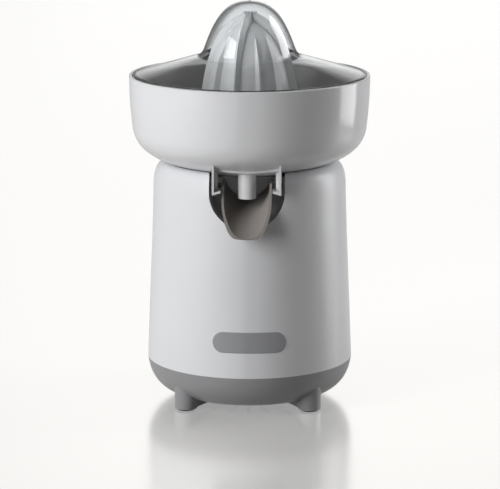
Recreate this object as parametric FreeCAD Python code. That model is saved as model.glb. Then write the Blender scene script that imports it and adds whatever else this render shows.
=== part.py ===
"""Electric citrus juicer: motor base, juice bowl with steel strainer, reamer and clear cover.

Millimetres. Z points up from the table, X to the right, and the pouring spout faces -Y.
The origin is on the table, on the axis of the spindle.
"""
import FreeCAD
import Part
import math
import os

from FreeCAD import Vector

# Overall form.
RIM_Z = 219.0
RIM_R = 80.0
PARTING_Z = 28.3
PARTING_R = 68.7
SHOULDER_Z = 146.0
SHOULDER_R = 64.2
DECK_Z = 156.0
DECK_T = 2.5
WALL = 2.4

# Base tray, legs and feet.
TRAY_Z = 4.0
TRAY_FLAT_R = 42.0
LEG_R = 7.5
LEG_CIRCLE_R = 58.0
LEG_ANGLES = (45, 135, 225, 315)
LEG_Z = 1.2
PAD_R = 6.0
PAD_TOP_Z = 2.8
VENT_COUNT = 16
VENT_R = (20.0, 36.0)
VENT_WIDTH = 2.4

# Screw posts that tie the tray, the housing and the gear plates together.
POST_ANGLES = (-30, 90, 210)
POST_CIRCLE_R = 50.0
POST_R = 4.5
POST_SPLIT_Z = 33.0
POST_TOP_Z = 46.0
SCREW_R = 1.8
SCREW_HEAD_R = 3.4
SCREW_HEAD_Z = (5.4, 8.0)

# Spout niche in the front of the housing.
NICHE_HALF = 24.6
NICHE_ARC_Z = 149.5
NICHE_DEPTH = 23.0
NICHE_BACK_Y = -33.0
NICHE_WALL = 2.0
KEEL_TOP = (17.0, 139.5)
KEEL_FLOOR = (8.0, 122.5)

# Spindle and its guides.
TOWER_R = 9.5
TOWER_TOP_Z = 172.0
BUSH_R = 6.6
BUSH_Z = (160.0, 171.0)
SPINDLE_R = 4.0
SPINDLE_Z = (90.0, 221.5)
SPINDLE_HEX = 8.0
SPINDLE_SHOULDER_Z = (193.5, 196.6)
SPINDLE_SHOULDER_R = 6.4
KEY_HEX = 9.0
KEY_Z = (94.0, 141.0)
PRESS_TRAVEL = 2.5
RUNNING_GAP = 0.06
SLIDING_GAP = 0.3

# Gear train: the motor pinion turns the idler, and the idler turns the output gear.
PINION_TEETH = 14
WHEEL_TEETH = 56
MOTOR_MODULE = 0.8
OUTPUT_MODULE = 1.0
PRESSURE_ANGLE = math.radians(20)
BACKLASH = 0.24
ADDENDUM = 0.92
DEDENDUM = 1.25
MOTOR_Y = 30.0
LOWER_PLATE_Z = (98.0, 101.0)
UPPER_PLATE_Z = (124.5, 127.5)
PLATE_R = 58.0
PLATE_FRONT_Y = -28.5
HUB_LOW_R = 8.0
HUB_HIGH_R = 9.0
HUB_Z = (96.0, 131.0)
GEAR_Z = (113.0, 121.0)
IDLER_WHEEL_Z = (104.5, 110.5)
IDLER_PINION_Z = (110.5, 122.5)
PINION_Z = (103.5, 111.5)
IDLER_PIN_R = 2.5

# Return spring between the output gear's hub and the collar on the spindle.
COLLAR_Z = (142.0, 145.0)
COLLAR_R = 8.6
SPRING_R = 7.2
SPRING_WIRE_R = 0.7
SPRING_TURNS = 4

# Shaded-pole motor.
STATOR_Z = (64.0, 88.0)
STATOR_X = (-20.0, 37.0)
STATOR_HALF_Y = 19.0
STATOR_BORE_R = 12.6
ROTOR_R = 12.0
SHAFT_R = 2.5
SHAFT_Z = (43.0, 112.0)
WINDOW_X = (15.6, 27.0)
WINDOW_HALF_Y = 12.0
COIL_HALF_Y = 11.0
COIL_X = (20.0, 44.0)
COIL_Z = (58.0, 94.0)
BOLT_R = 2.0
BOLT_PLACES = ((-16, 15), (-16, 45), (24, 15), (24, 45))
FAN_R = 14.5
FAN_Z = (44.0, 53.0)
FAN_BLADES = 8

# Switch under the spindle.
SWITCH_Z = (76.0, 86.0)
PLUNGER_R = 1.6
PLUNGER_Z = (82.5, 89.6)

# Juice bowl, strainer and outlet.
BOWL_WALL = 2.3
BOWL_BOTTOM_Z = RIM_Z - 60.5
COLUMN_R = 12.8
COLUMN_TOP_Z = 193.0
COLUMN_WALL = 2.2
SEAT_R = (44.0, 46.5)
SEAT_Z = DECK_Z + 0.3
OUTLET_Y = -52.0
OUTLET_R = 6.0
OUTLET_BORE_R = 4.3
OUTLET_Z = 145.5
STRAINER_T = 0.8
STRAINER_FLOOR_Z = 187.2
STRAINER_HOLE_R = 14.2
STRAINER_RIM_Z = 215.6
STRAINER_HEEL_R = 70.0
STRAINER_HEEL_Z = STRAINER_FLOOR_Z + 4.5
STRAINER_SEAM_Z = STRAINER_FLOOR_Z + 2.0
STRAINER_SEAM_R = 60.0
SLOT_RINGS = ((20, 19.0, 38.0), (36, 43.0, 64.0))
SLOT_WIDTH = 1.6

# Bracket under the bowl with the outlet tube and two ears, and the spout that hangs between the ears.
SADDLE_T = 1.2
SADDLE_Y = (-62.0, -44.0)
EAR_X = (21.0, 22.4)
EAR_Y = (-66.0, -46.0)
EAR_Z = 149.7
EAR_FOOT_X = 16.9
EAR_FOOT_T = 1.4
EAR_FOOT_RISE = 1.4
EAR_FOOT_BACK_Y = -53.5
EAR_WEB_X = 18.8
EAR_WEB_Y = (-58.5, -56.7)
PIVOT_Y = -50.5
PIVOT_Z = 153.5
PIVOT_R = 1.5
PIVOT_REACH = 22.9
SPOUT_HALF = 16.2
SPOUT_WALL = 1.4
SPOUT_BELLY = 15.0
SPOUT_SLOPE = math.radians(30)
SPOUT_LIP = (-76.0, 121.5)
SPOUT_UNDERCUT = 3.5
SPOUT_BACK_Y = -40.0
SPOUT_TOP_Z = 156.0
SPOUT_BACK_TOP_Z = 145.0

# Reamer: four tall fins that meet at the tip, and two shorter ribs in each quarter.
REAMER_FOOT_Z = RIM_Z - 22.0
REAMER_TIP_Z = RIM_Z + 42.0
FIN_START_ANGLE = -106
FIN_HALF_ANGLE = math.radians(27)
FIN_DEPTH = 5.0
RIB_OFFSETS = (30, 60)
REAMER_WALL = 2.2
REAMER_HUB_R = 8.5
REAMER_SOCKET_TOP_Z = 223.0

# Clear cover.
COVER_EDGE_R = 77.3
COVER_EDGE_Z = 217.0
COVER_T = 1.6
DOME_TOP = 49.4
DOME_FOOT_R = 33.5

# Cord gland at the back of the housing.
GLAND_Z = 56.0
GLAND_NECK_R = 5.0
GLAND_BORE_R = 3.3

UP = Vector(0, 0, 1)
ORIGIN = Vector(0, 0, 0)
NUDGE = 1.0


def pole(point):
    """Point of a half-section: radius and height."""
    return Vector(point[0], 0, point[1])


def half_section(start, *steps):
    """Closed face in the XZ plane: a pair is a straight run, a list of pairs is a Bezier curve."""
    edges = []
    here = start
    for step in steps + (start,):
        if isinstance(step, list):
            bezier = Part.BezierCurve()
            bezier.setPoles([pole(here)] + [pole(point) for point in step])
            edges.append(bezier.toShape())
            here = step[-1]
        elif step != here:
            edges.append(Part.makeLine(pole(here), pole(step)))
            here = step
    return Part.Face(Part.Wire(edges))


def turned(start, *steps):
    """Solid of revolution about Z of a closed half-section."""
    return half_section(start, *steps).revolve(ORIGIN, UP, 360)


def rod(radius, span, x=0.0, y=0.0):
    """Upright cylinder over a span of heights."""
    return Part.makeCylinder(radius, span[1] - span[0], Vector(x, y, span[0]), UP)


def ring(bore, radius, span, x=0.0, y=0.0):
    """Upright tube over a span of heights."""
    return rod(radius, span, x, y).cut(rod(bore, span, x, y))


def block(x_span, y_span, z_span):
    """Box between three pairs of limits."""
    size = [span[1] - span[0] for span in (x_span, y_span, z_span)]
    return Part.makeBox(*size, Vector(x_span[0], y_span[0], z_span[0]))


def hexagon(across_flats, span):
    """Upright hexagonal bar with two flats square to the Y axis."""
    corner_r = across_flats / math.sqrt(3)
    corners = [Vector(corner_r * math.cos(k * math.pi / 3), corner_r * math.sin(k * math.pi / 3), span[0])
               for k in range(7)]
    return Part.Face(Part.makePolygon(corners)).extrude(Vector(0, 0, span[1] - span[0]))


def spun(shape, angle):
    """Copy of a shape turned about Z by an angle in degrees."""
    copy = shape.copy()
    copy.rotate(ORIGIN, UP, angle)
    return copy


def around(shape, angles):
    """Copies of a shape turned about Z, one per angle."""
    return [spun(shape, angle) for angle in angles]


def mirrored(shape):
    """Copy of a shape on the other side of the YZ plane."""
    return shape.mirror(ORIGIN, Vector(1, 0, 0))


def fused(shapes):
    """One solid from shapes that overlap."""
    return shapes[0].multiFuse(shapes[1:]).removeSplitter()


def on_circle(radius, angle):
    """X and Y of a point on a circle about the axis, angle in degrees."""
    return radius * math.cos(math.radians(angle)), radius * math.sin(math.radians(angle))


def save(name, shape):
    """Write one piece, or a group of like pieces, and say how large it is."""
    shape.exportStep("parts/" + name + ".step")
    print(name, len(shape.Solids), round(shape.Volume, 1), shape.isValid())


# Housing and base

def niche(grow, y_span):
    """Front opening, square at the top and a half ellipse below with a flat keel under the spout."""
    half = NICHE_HALF + grow
    through = Vector(0, y_span[1] - y_span[0], 0)
    ellipse = Part.Ellipse(Vector(0, y_span[0], NICHE_ARC_Z), half, NICHE_DEPTH + grow)
    ellipse.Axis = Vector(0, -1, 0)
    ellipse.XAxis = Vector(1, 0, 0)
    round_end = Part.Face(Part.Wire([ellipse.toShape()])).extrude(through)
    upper = block((-half, half), y_span, (NICHE_ARC_Z, SHOULDER_Z + 30))
    top_x, top_z = KEEL_TOP[0] + grow, KEEL_TOP[1]
    floor_x, floor_z = KEEL_FLOOR[0] + grow, KEEL_FLOOR[1] - grow
    corners = [(-top_x, top_z), (-floor_x, floor_z), (floor_x, floor_z), (top_x, top_z), (-top_x, top_z)]
    keel_face = Part.Face(Part.makePolygon([Vector(x, y_span[0], z) for x, z in corners]))
    return fused([upper, round_end, keel_face.extrude(through)])


def motor_housing():
    """Tapered shell with a rounded shoulder, a sunk deck, the spindle tower and the spout niche."""
    outer = turned((0, PARTING_Z), (PARTING_R, PARTING_Z),
                   [(67.2, 70), (64.6, 120), (SHOULDER_R, SHOULDER_Z)],
                   [(64.0, 156.5), (61.0, 161.0), (55.0, 161.6)],
                   (53.0, DECK_Z), (0, DECK_Z))
    inner = turned((0, PARTING_Z - NUDGE), (PARTING_R - WALL, PARTING_Z - NUDGE),
                   [(67.2 - WALL, 70), (64.6 - WALL, 120), (SHOULDER_R - WALL, SHOULDER_Z)],
                   [(61.2, 151.5), (60.0, 153.5), (56.0, DECK_Z - DECK_T)],
                   (0, DECK_Z - DECK_T))
    liner = niche(NICHE_WALL, (-RIM_R, NICHE_BACK_Y + NICHE_WALL))
    shell = outer.cut(inner).fuse(liner.common(outer))
    tower = rod(TOWER_R, (DECK_Z - DECK_T, TOWER_TOP_Z))
    posts = []
    for angle in POST_ANGLES:
        x, y = on_circle(POST_CIRCLE_R, angle)
        posts.append(rod(POST_R + 0.5, (UPPER_PLATE_Z[1], DECK_Z - NUDGE), x, y))
        posts.append(rod(POST_R, (POST_SPLIT_Z, POST_TOP_Z), x, y))
        rib = block((POST_CIRCLE_R + POST_R - NUDGE, PARTING_R - WALL), (-1.2, 1.2), (POST_SPLIT_Z, POST_TOP_Z))
        posts.append(spun(rib, angle))
    shell = fused([shell, tower] + posts)
    shell = shell.cut(niche(0.0, (-RIM_R, NICHE_BACK_Y)))
    shell = shell.cut(rod(BUSH_R, (BUSH_Z[0], TOWER_TOP_Z + NUDGE)))
    shell = shell.cut(rod(SPINDLE_R + 1, (DECK_Z - DECK_T - NUDGE, BUSH_Z[0])))
    for angle in POST_ANGLES:
        x, y = on_circle(POST_CIRCLE_R, angle)
        shell = shell.cut(rod(SCREW_R, (POST_SPLIT_Z - NUDGE, POST_TOP_Z - NUDGE), x, y))
        shell = shell.cut(rod(SCREW_R, (UPPER_PLATE_Z[1] - NUDGE, 140.0), x, y))
    gland_hole = Part.makeCylinder(GLAND_NECK_R, 12, Vector(0, 60, GLAND_Z), Vector(0, 1, 0))
    return shell.cut(gland_hole)


def tray_profile(inset):
    """Bowl-shaped underside of the base, drawn in by an inset."""
    return ((0, TRAY_Z + inset),
            (TRAY_FLAT_R, TRAY_Z + inset),
            [(59.5 - inset, 5.0 + inset), (67.2 - inset, 14.0 + inset / 2), (PARTING_R - inset, PARTING_Z)])


def leg():
    """Round leg whose inner side runs out as a web towards the middle of the tray."""
    post = rod(LEG_R, (LEG_Z, 22.0), LEG_CIRCLE_R)

    def web_end(x, half, low, high):
        return Part.makePolygon([Vector(x, -half, low), Vector(x, half, low), Vector(x, half, high),
                                 Vector(x, -half, high), Vector(x, -half, low)])

    web = Part.makeLoft([web_end(LEG_CIRCLE_R, LEG_R - 0.6, LEG_Z + 0.3, 20.0),
                         web_end(30.0, 3.0, TRAY_Z - 0.2, TRAY_Z + 1.4)], True, True)
    return post.fuse(web)


def base_tray():
    """Grey tray with its tongue, four legs, pad recesses, screw posts and a ring of vents."""
    outer = turned(*tray_profile(0.0), (0, PARTING_Z))
    inner = turned(*tray_profile(WALL), (PARTING_R - WALL, PARTING_Z + NUDGE), (0, PARTING_Z + NUDGE))
    tongue = ring(PARTING_R - 2 * WALL, PARTING_R - WALL - SLIDING_GAP, (PARTING_Z - 6, PARTING_Z + 4))
    tongue_foot = ring(PARTING_R - 2 * WALL, PARTING_R - 1.0, (PARTING_Z - 6, PARTING_Z))
    legs = [shape.cut(inner) for shape in around(leg(), LEG_ANGLES)]
    posts = []
    for angle in POST_ANGLES:
        x, y = on_circle(POST_CIRCLE_R, angle)
        posts.append(rod(POST_R, (SCREW_HEAD_Z[0], POST_SPLIT_Z), x, y))
    tongue_foot = tongue_foot.common(outer)
    tray = fused([outer.cut(inner), tongue, tongue_foot] + legs + posts)
    cutters = []
    for angle in POST_ANGLES:
        x, y = on_circle(POST_CIRCLE_R, angle)
        cutters.append(rod(SCREW_R, (0, POST_SPLIT_Z + NUDGE), x, y))
        cutters.append(rod(SCREW_HEAD_R, (0, SCREW_HEAD_Z[1]), x, y))
    pad_recess = rod(PAD_R, (0, PAD_TOP_Z), LEG_CIRCLE_R)
    cutters += around(pad_recess, LEG_ANGLES)
    vent = block(VENT_R, (-VENT_WIDTH / 2, VENT_WIDTH / 2), (0, TRAY_Z + WALL + NUDGE))
    cutters += around(vent, [360 / VENT_COUNT * k for k in range(VENT_COUNT)])
    return tray.cut(Part.makeCompound(cutters))


def rubber_feet():
    """Pads pressed into the legs, with a small bevel at the table."""
    pad = turned((0, 0), (PAD_R - 0.6, 0), (PAD_R, 0.6), (PAD_R, PAD_TOP_Z), (0, PAD_TOP_Z))
    pad.translate(Vector(LEG_CIRCLE_R, 0, 0))
    return Part.makeCompound(around(pad, LEG_ANGLES))


def screw(head_r, shank_r, head_span, tip_z, x, y):
    """Pan-head screw driven upwards."""
    return rod(head_r, head_span, x, y).fuse(rod(shank_r, (head_span[1], tip_z), x, y)).removeSplitter()


def base_screws():
    """Screws that hold the tray to the housing."""
    places = [on_circle(POST_CIRCLE_R, angle) for angle in POST_ANGLES]
    return Part.makeCompound([screw(SCREW_HEAD_R, SCREW_R, SCREW_HEAD_Z, POST_TOP_Z - 2, x, y) for x, y in places])


def cord_gland():
    """Grommet in the back wall, with a flange on each side of it."""
    out = Vector(0, 1, 0)
    wall_y = PARTING_R - WALL - 1.7
    pieces = [Part.makeCylinder(6.4, 2.4, Vector(0, wall_y - 2.4, GLAND_Z), out),
              Part.makeCylinder(GLAND_NECK_R, 6.0, Vector(0, wall_y - NUDGE, GLAND_Z), out),
              Part.makeCone(7.2, 6.0, 3.0, Vector(0, PARTING_R - 0.6, GLAND_Z), out)]
    bore = Part.makeCylinder(GLAND_BORE_R, 20, Vector(0, wall_y - 6, GLAND_Z), out)
    return fused(pieces).cut(bore)


# Gear train

def gear(teeth, module, span, x, y, tooth_angle):
    """Spur gear with involute flanks, one tooth centred on tooth_angle (radians)."""
    pitch_r = module * teeth / 2
    base_r = pitch_r * math.cos(PRESSURE_ANGLE)
    tip_r = pitch_r + ADDENDUM * module
    root_r = pitch_r - DEDENDUM * module
    start_r = max(base_r, root_r)

    def involute(angle):
        return math.tan(angle) - angle

    def half_tooth(radius):
        """Angle from the tooth's centre line to its flank at a radius."""
        at_pitch = math.pi / (2 * teeth) - BACKLASH / (2 * pitch_r)
        return at_pitch + involute(PRESSURE_ANGLE) - involute(math.acos(min(1.0, base_r / radius)))

    def spot(radius, angle):
        return Vector(x + radius * math.cos(angle), y + radius * math.sin(angle), span[0])

    def arc(radii, angles):
        return Part.Arc(*[spot(r, a) for r, a in zip(radii, angles)]).toShape()

    edges = []
    flank_r = (start_r, (start_r + tip_r) / 2, tip_r)
    foot = half_tooth(start_r)
    crest = half_tooth(tip_r)
    step = 2 * math.pi / teeth
    for k in range(teeth):
        centre = tooth_angle + k * step
        rising = [centre - half_tooth(r) for r in flank_r]
        falling = [centre + half_tooth(r) for r in flank_r]
        if root_r < start_r:
            edges.append(Part.makeLine(spot(root_r, centre - foot), spot(start_r, centre - foot)))
        edges.append(arc(flank_r, rising))
        edges.append(arc((tip_r,) * 3, (centre - crest, centre, centre + crest)))
        edges.append(arc(flank_r[::-1], falling[::-1]))
        if root_r < start_r:
            edges.append(Part.makeLine(spot(start_r, centre + foot), spot(root_r, centre + foot)))
        edges.append(arc((root_r,) * 3, (centre + foot, centre + step / 2, centre + step - foot)))
    return Part.Face(Part.Wire(edges)).extrude(Vector(0, 0, span[1] - span[0]))


def idler_place():
    """X and Y of the idler: one gear distance from the output axis and one from the motor."""
    to_output = OUTPUT_MODULE * (WHEEL_TEETH + PINION_TEETH) / 2
    to_motor = MOTOR_MODULE * (WHEEL_TEETH + PINION_TEETH) / 2
    y = (to_output ** 2 - to_motor ** 2 + MOTOR_Y ** 2) / (2 * MOTOR_Y)
    return -math.sqrt(to_output ** 2 - y ** 2), y


def output_gear():
    """Large gear with a long hub that runs in both plates and drives the spindle by a hexagon."""
    x, y = idler_place()
    towards_idler = math.atan2(y, x)
    wheel = gear(WHEEL_TEETH, OUTPUT_MODULE, GEAR_Z, 0, 0, towards_idler)
    hub = turned((0, HUB_Z[0]), (HUB_LOW_R, HUB_Z[0]), (HUB_LOW_R, LOWER_PLATE_Z[1] + 2.0), (9.6, 103.6),
                 (9.6, GEAR_Z[1] + 1.2), (HUB_HIGH_R, GEAR_Z[1] + 1.2), (HUB_HIGH_R, HUB_Z[1]), (0, HUB_Z[1]))
    groove_face = half_section((13.0, GEAR_Z[1] - 2.5), (24.0, GEAR_Z[1] - 2.5), (24.0, 122), (13.0, 122))
    wheel = wheel.cut(groove_face.revolve(ORIGIN, UP, 360))
    return wheel.fuse(hub).cut(hexagon(KEY_HEX + 2 * SLIDING_GAP, (HUB_Z[0] - 1, HUB_Z[1] + 1))).removeSplitter()


def idler_gear():
    """Compound gear: a wheel driven by the motor and a pinion that drives the output gear."""
    x, y = idler_place()
    towards_output = math.atan2(-y, -x)
    towards_motor = math.atan2(MOTOR_Y - y, -x)
    pinion = gear(PINION_TEETH, OUTPUT_MODULE, IDLER_PINION_Z, x, y, towards_output + math.pi / PINION_TEETH)
    wheel = gear(WHEEL_TEETH, MOTOR_MODULE, IDLER_WHEEL_Z, x, y, towards_motor)
    washer = rod(5.0, (LOWER_PLATE_Z[1] + 0.3, IDLER_WHEEL_Z[0]), x, y)
    bore = rod(IDLER_PIN_R + RUNNING_GAP, (LOWER_PLATE_Z[1], UPPER_PLATE_Z[0]), x, y)
    return fused([wheel, pinion, washer]).cut(bore)


def motor_pinion():
    """Small gear pressed on the motor shaft."""
    x, y = idler_place()
    back_to_idler = math.atan2(y - MOTOR_Y, x)
    teeth = gear(PINION_TEETH, MOTOR_MODULE, PINION_Z, 0, MOTOR_Y, back_to_idler + math.pi / PINION_TEETH)
    return teeth.cut(rod(SHAFT_R, PINION_Z, 0, MOTOR_Y))


def gear_plate(span, hub_bush_r, front_cut, shaft_hole_r):
    """Round carrier plate with holes for the hub bush, the idler pin, the screws and the motor shaft."""
    plate = rod(PLATE_R, span)
    if front_cut:
        plate = plate.cut(block((-RIM_R, RIM_R), (-RIM_R, PLATE_FRONT_Y), span))
    holes = [rod(hub_bush_r, span), rod(IDLER_PIN_R, span, *idler_place())]
    holes += [rod(SCREW_R, span, *on_circle(POST_CIRCLE_R, angle)) for angle in POST_ANGLES]
    if shaft_hole_r:
        holes.append(rod(shaft_hole_r, span, 0, MOTOR_Y))
        holes += [rod(BOLT_R, span, x, y) for x, y in BOLT_PLACES]
    return plate.cut(Part.makeCompound(holes))


def hub_bush(bore, span, plate_span):
    """Flanged bush that carries the output gear's hub in a plate."""
    sleeve = ring(bore + RUNNING_GAP, bore + 3.0, span)
    flange = ring(bore + 3.0, bore + 4.5, (span[0], plate_span[0]))
    return sleeve.fuse(flange).removeSplitter()


def plate_pillars():
    """Spacer tubes that hold the two gear plates apart."""
    span = (LOWER_PLATE_Z[1], UPPER_PLATE_Z[0])
    places = [on_circle(POST_CIRCLE_R, angle) for angle in POST_ANGLES]
    return Part.makeCompound([ring(SCREW_R, POST_R, span, x, y) for x, y in places])


def plate_screws():
    """Long screws through both plates into the posts under the deck."""
    head = (LOWER_PLATE_Z[0] - 2.4, LOWER_PLATE_Z[0])
    places = [on_circle(POST_CIRCLE_R, angle) for angle in POST_ANGLES]
    return Part.makeCompound([screw(SCREW_HEAD_R, SCREW_R, head, 139.0, x, y) for x, y in places])


def idler_pin():
    """Steel pin on which the idler turns."""
    x, y = idler_place()
    return rod(IDLER_PIN_R, (LOWER_PLATE_Z[0], UPPER_PLATE_Z[1]), x, y)


# Motor

def motor_stator():
    """Stack of laminations with the rotor bore and the coil window."""
    y_span = (MOTOR_Y - STATOR_HALF_Y, MOTOR_Y + STATOR_HALF_Y)
    stack = block(STATOR_X, y_span, STATOR_Z)
    upright = [edge for edge in stack.Edges if abs(edge.tangentAt(edge.FirstParameter).z) > 0.9]
    stack = stack.makeFillet(3.0, upright)
    window = block(WINDOW_X, (MOTOR_Y - WINDOW_HALF_Y, MOTOR_Y + WINDOW_HALF_Y), STATOR_Z)
    holes = [rod(STATOR_BORE_R, STATOR_Z, 0, MOTOR_Y), window]
    holes += [rod(BOLT_R, STATOR_Z, x, y) for x, y in BOLT_PLACES]
    return stack.cut(Part.makeCompound(holes))


def motor_coil():
    """Winding round the leg of the stator that lies beside the window."""
    y_span = (MOTOR_Y - COIL_HALF_Y, MOTOR_Y + COIL_HALF_Y)
    winding = block(COIL_X, y_span, COIL_Z)
    along = [edge for edge in winding.Edges if abs(edge.tangentAt(edge.FirstParameter).y) > 0.9]
    winding = winding.makeFillet(4.5, along)
    return winding.cut(block((WINDOW_X[1], STATOR_X[1]), y_span, STATOR_Z))


def motor_bracket(stator_z, outward):
    """Pressed strap across one end of the stator, with a boss for the shaft bush."""
    strap_z = sorted((stator_z + 3 * outward, stator_z + 5 * outward))
    foot_z = sorted((stator_z, stator_z + 5 * outward))
    boss_z = sorted((stator_z + 3 * outward, stator_z + 9 * outward))
    y_span = (MOTOR_Y - 8, MOTOR_Y + 8)
    pieces = [block((-18, 18), y_span, strap_z), rod(7.0, boss_z, 0, MOTOR_Y)]
    pieces += [block(x_span, y_span, foot_z) for x_span in ((-18, -15), (15, 15.6))]
    return fused(pieces).cut(rod(5.0, boss_z, 0, MOTOR_Y))


def motor_bushes():
    """Sintered bushes for the two ends of the motor shaft."""
    low = (STATOR_Z[0] - 9, STATOR_Z[0] - 3)
    high = (STATOR_Z[1] + 3, STATOR_Z[1] + 9)
    return Part.makeCompound([ring(SHAFT_R + RUNNING_GAP, 5.0, span, 0, MOTOR_Y) for span in (low, high)])


def motor_spacers():
    """Sleeves that hang the motor under the lower gear plate."""
    span = (STATOR_Z[1], LOWER_PLATE_Z[0])
    return Part.makeCompound([ring(BOLT_R, 3.6, span, x, y) for x, y in BOLT_PLACES])


def motor_bolts():
    """Bolts through the stator and the sleeves into the lower gear plate."""
    head = (STATOR_Z[0] - 2.6, STATOR_Z[0])
    return Part.makeCompound([screw(3.4, BOLT_R, head, LOWER_PLATE_Z[1], x, y) for x, y in BOLT_PLACES])


def motor_rotor():
    """Rotor core between the poles, pressed on the shaft."""
    span = (STATOR_Z[0] - 0.8, STATOR_Z[1] + 0.8)
    return ring(SHAFT_R, ROTOR_R, span, 0, MOTOR_Y)


def cooling_fan():
    """Radial fan on the lower end of the motor shaft."""
    disc = ring(SHAFT_R, FAN_R, (FAN_Z[1] - 1.5, FAN_Z[1]))
    hub = ring(SHAFT_R, 5.0, FAN_Z)
    blade = block((4.5, FAN_R - 0.5), (-0.6, 0.6), FAN_Z)
    fan = fused([disc, hub] + around(blade, [360 / FAN_BLADES * k for k in range(FAN_BLADES)]))
    fan.translate(Vector(0, MOTOR_Y, 0))
    return fan


# Spindle and switch

def drive_spindle():
    """Shaft with a hexagon that slides in the gear, a journal in the tower and a hexagon for the reamer."""
    pieces = [rod(3.5, (SPINDLE_Z[0], KEY_Z[0] + NUDGE)),
              hexagon(KEY_HEX, KEY_Z),
              rod(SPINDLE_R, (KEY_Z[1] - NUDGE, SPINDLE_SHOULDER_Z[1])),
              rod(SPINDLE_SHOULDER_R, SPINDLE_SHOULDER_Z),
              hexagon(SPINDLE_HEX, (SPINDLE_SHOULDER_Z[1] - NUDGE, SPINDLE_Z[1]))]
    return fused(pieces)


def spindle_collar():
    """Ring fixed to the spindle, pushed up by the return spring."""
    return ring(SPINDLE_R, COLLAR_R, COLLAR_Z)


def return_spring():
    """Helical spring; each quarter turn is an arc through three points of the helix."""
    low = HUB_Z[1] + SPRING_WIRE_R + 0.1
    high = COLLAR_Z[0] - SPRING_WIRE_R - 0.1
    quarters = SPRING_TURNS * 4

    def spot(quarter):
        angle = quarter * math.pi / 2
        rise = (high - low) * quarter / quarters
        return Vector(SPRING_R * math.cos(angle), SPRING_R * math.sin(angle), low + rise)

    arcs = [Part.Arc(spot(k), spot(k + 0.5), spot(k + 1)).toShape() for k in range(quarters)]
    path = Part.Wire(arcs)
    section = Part.Wire([Part.makeCircle(SPRING_WIRE_R, spot(0), arcs[0].tangentAt(arcs[0].FirstParameter))])
    pitch = (high - low) / SPRING_TURNS
    print("spring gap between turns", round(pitch - 2 * SPRING_WIRE_R, 2))
    return path.makePipeShell([section], True, False)


def spindle_bush():
    """Long plain bush in the tower."""
    return ring(SPINDLE_R + RUNNING_GAP, BUSH_R, BUSH_Z)


def spindle_seal():
    """Rubber cap over the tower that keeps juice out of the bush."""
    return turned((SPINDLE_R + SLIDING_GAP, BUSH_Z[1]), (BUSH_R, BUSH_Z[1]), (BUSH_R, TOWER_TOP_Z),
                  (8.6, TOWER_TOP_Z), (7.4, TOWER_TOP_Z + 1.4), (SPINDLE_R + SLIDING_GAP, TOWER_TOP_Z + 3.0))


def switch_body():
    """Small snap switch with a guide bore for its plunger."""
    case = block((-10, 10), (-3.2, 3.2), SWITCH_Z)
    terminals = [block((x - 1.6, x + 1.6), (-0.4, 0.4), (SWITCH_Z[0] - 6, SWITCH_Z[0])) for x in (-7, 0, 7)]
    bore = rod(PLUNGER_R + RUNNING_GAP, (PLUNGER_Z[0] - PRESS_TRAVEL - 0.5, SWITCH_Z[1]))
    return fused([case] + terminals).cut(bore)


def switch_bracket():
    """Strip under the gear plate with a shelf that holds the switch by its ends."""
    hanger = block((-10, 10), (-16, -14), (SWITCH_Z[0] - 2, LOWER_PLATE_Z[0]))
    shelf = block((-10, 10), (-14, 3.2), (SWITCH_Z[0] - 2, SWITCH_Z[0]))
    slot = block((-9, 9), (-1.2, 1.2), (SWITCH_Z[0] - 2, SWITCH_Z[0]))
    return hanger.fuse(shelf).removeSplitter().cut(slot)


def switch_plunger():
    """Pin that the spindle pushes down to start the motor."""
    return rod(PLUNGER_R, PLUNGER_Z)


# Bowl, strainer and spout

def bowl_cavity():
    """Inside of the bowl, from its floor to above the rim."""
    return turned((0, BOWL_BOTTOM_Z + BOWL_WALL), (38.0, BOWL_BOTTOM_Z + BOWL_WALL),
                  [(56.3, RIM_Z - 55.7), (74.7, RIM_Z - 50.8), (78.0 - BOWL_WALL, RIM_Z - 33)],
                  [(77.2, RIM_Z - 21), (77.4, RIM_Z - 14), (RIM_R - BOWL_WALL, RIM_Z - 1.0)],
                  [(RIM_R - BOWL_WALL, RIM_Z - 0.4), (RIM_R - 1.9, RIM_Z), (RIM_R - 1.5, RIM_Z)],
                  (RIM_R - 1.5, RIM_Z + NUDGE), (0, RIM_Z + NUDGE))


def bowl_outside():
    """Full outer form of the bowl, from its flat bottom to the rim."""
    return turned((0, BOWL_BOTTOM_Z), (38.0, BOWL_BOTTOM_Z),
                  [(57.0, RIM_Z - 57.9), (77.0, RIM_Z - 52), (78.0, RIM_Z - 33)],
                  [(79.5, RIM_Z - 21), (79.7, RIM_Z - 14), (RIM_R, RIM_Z - 0.9)],
                  [(RIM_R, RIM_Z - 0.3), (RIM_R - 0.3, RIM_Z), (RIM_R - 0.8, RIM_Z)], (0, RIM_Z))


def outlet_bore():
    """Passage for the juice through the bowl's floor and the outlet tube."""
    return rod(OUTLET_BORE_R, (OUTLET_Z - NUDGE, RIM_Z - 40), 0, OUTLET_Y)


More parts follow.
